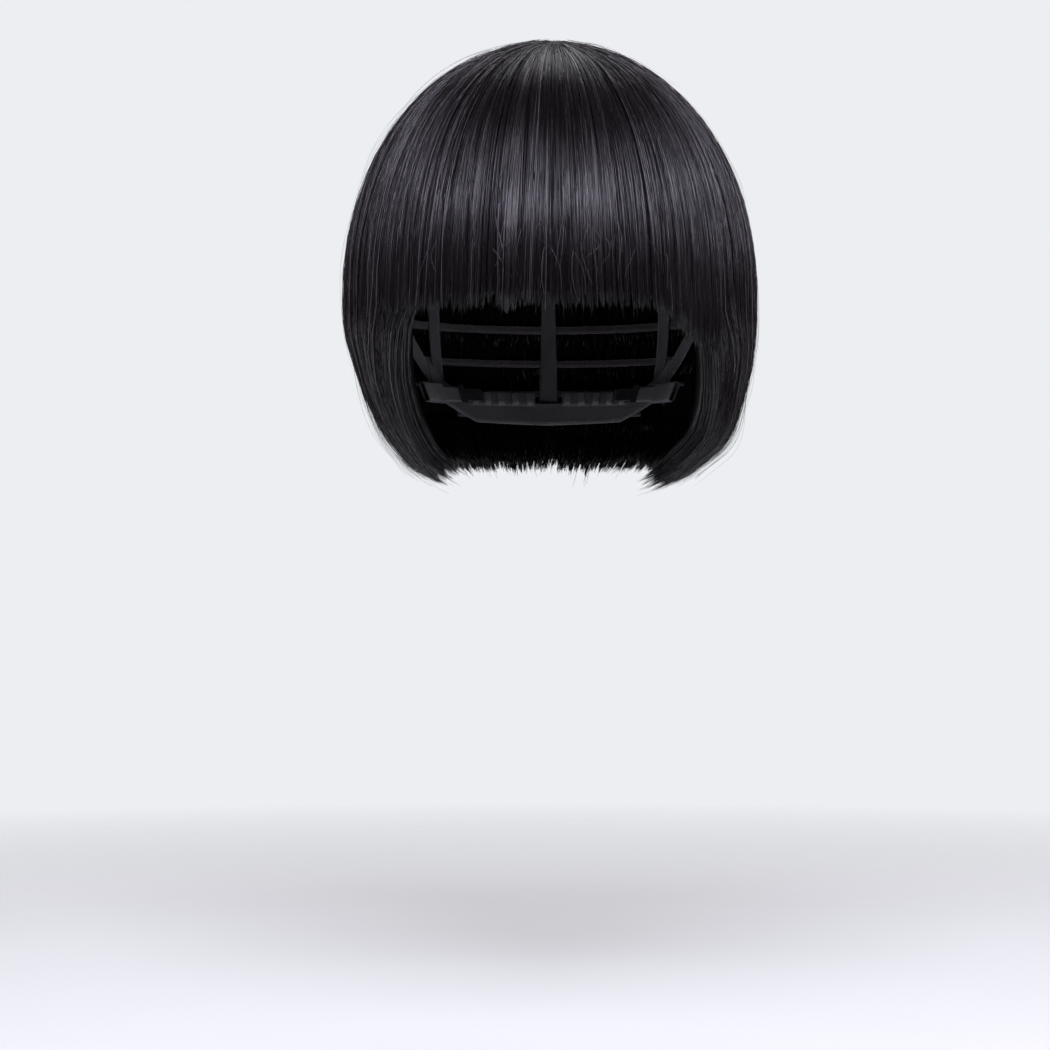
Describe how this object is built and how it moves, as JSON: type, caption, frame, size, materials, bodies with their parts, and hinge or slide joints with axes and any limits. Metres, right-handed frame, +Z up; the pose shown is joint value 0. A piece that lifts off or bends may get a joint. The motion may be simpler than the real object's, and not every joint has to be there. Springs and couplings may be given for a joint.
{
  "type": "costume wig",
  "caption": "Short straight black bob wig with a full blunt fringe, sewn in wefts on an adjustable net cap.",
  "frame": {"origin": "inside of the cap's crown, where the top of the head seats", "axes": "+Z up, -Y towards the face opening, +X towards the wearer's left"},
  "size_m": [0.191, 0.218, 0.1998],
  "materials": {
    "hair_fibre": "straight glossy off-black synthetic fibre",
    "weft_stitching": "fibre folded and machine-stitched into a narrow edge",
    "cap_net": "fine black stretch net",
    "skin_top": "thin matt skin-coloured film",
    "elastic": "black woven elastic, matt",
    "hook_plastic": "satin black moulded plastic"
  },
  "bodies": {
    "cap": {"crown_net": "cap_net", "skin_top": "skin_top", "front_band": "elastic", "nape_band": "elastic", "side_band_left": "elastic", "strap_sleeve_left": "elastic", "hook_loops_left": "elastic", "side_band_right": "elastic", "strap_sleeve_right": "elastic", "hook_loops_right": "elastic", "ribbon_front_left": "elastic", "ribbon_side_left": "elastic", "ribbon_back_left": "elastic", "ribbon_front_right": "elastic", "ribbon_side_right": "elastic", "ribbon_back_right": "elastic", "ribbon_back_centre": "elastic", "weft_1": "weft_stitching", "weft_2": "weft_stitching", "weft_3": "weft_stitching", "weft_4": "weft_stitching", "weft_5": "weft_stitching", "weft_6": "weft_stitching", "weft_7": "weft_stitching", "weft_8": "weft_stitching", "weft_9": "weft_stitching", "weft_10": "weft_stitching", "weft_11": "weft_stitching", "weft_12": "weft_stitching", "weft_13": "weft_stitching", "hair_fringe_1": "hair_fibre", "hair_fringe_2": "hair_fibre", "hair_fringe_3": "hair_fibre", "hair_left_1": "hair_fibre", "hair_left_2": "hair_fibre", "hair_left_3": "hair_fibre", "hair_left_4": "hair_fibre", "hair_right_1": "hair_fibre", "hair_right_2": "hair_fibre", "hair_right_3": "hair_fibre", "hair_right_4": "hair_fibre", "hair_back_1": "hair_fibre", "hair_back_2": "hair_fibre", "hair_back_3": "hair_fibre", "hair_back_4": "hair_fibre", "hair_back_5": "hair_fibre", "hair_back_6": "hair_fibre", "hair_back_7": "hair_fibre"},
    "strap_left": {"adjuster_strap_left": "elastic", "strap_hook_left": "hook_plastic"},
    "strap_right": {"adjuster_strap_right": "elastic", "strap_hook_right": "hook_plastic"},
    "comb_left": {"side_comb_left": "hook_plastic"},
    "comb_right": {"side_comb_right": "hook_plastic"},
    "ear_tab_left": {"ear_tab_left": "elastic", "ear_stay_left": "hook_plastic"},
    "ear_tab_right": {"ear_tab_right": "elastic", "ear_stay_right": "hook_plastic"}
  },
  "joints": [
    {"name": "strap_left_pull", "type": "hinge", "parent": "cap", "child": "strap_left", "pos_m": [0, 0.02146, -0.15247], "axis": [0, 0, 1], "range_deg": [0, 16]},
    {"name": "strap_right_pull", "type": "hinge", "parent": "cap", "child": "strap_right", "pos_m": [0, 0.02146, -0.15247], "axis": [0, 0, -1], "range_deg": [0, 16]},
    {"name": "comb_left_tilt", "type": "hinge", "parent": "cap", "child": "comb_left", "pos_m": [0.0709, 0, -0.06695], "axis": [0, -1, 0], "range_deg": [0, 35]},
    {"name": "comb_right_tilt", "type": "hinge", "parent": "cap", "child": "comb_right", "pos_m": [-0.0709, 0, -0.06695], "axis": [0, 1, 0], "range_deg": [0, 35]},
    {"name": "ear_tab_left_bend", "type": "hinge", "parent": "cap", "child": "ear_tab_left", "pos_m": [0.07236, -0.0295, -0.08302], "axis": [0.2507, 0.9681, 0], "range_deg": [0, 12]},
    {"name": "ear_tab_right_bend", "type": "hinge", "parent": "cap", "child": "ear_tab_right", "pos_m": [-0.07236, -0.0295, -0.08302], "axis": [0.2507, -0.9681, 0], "range_deg": [0, 12]}
  ]
}
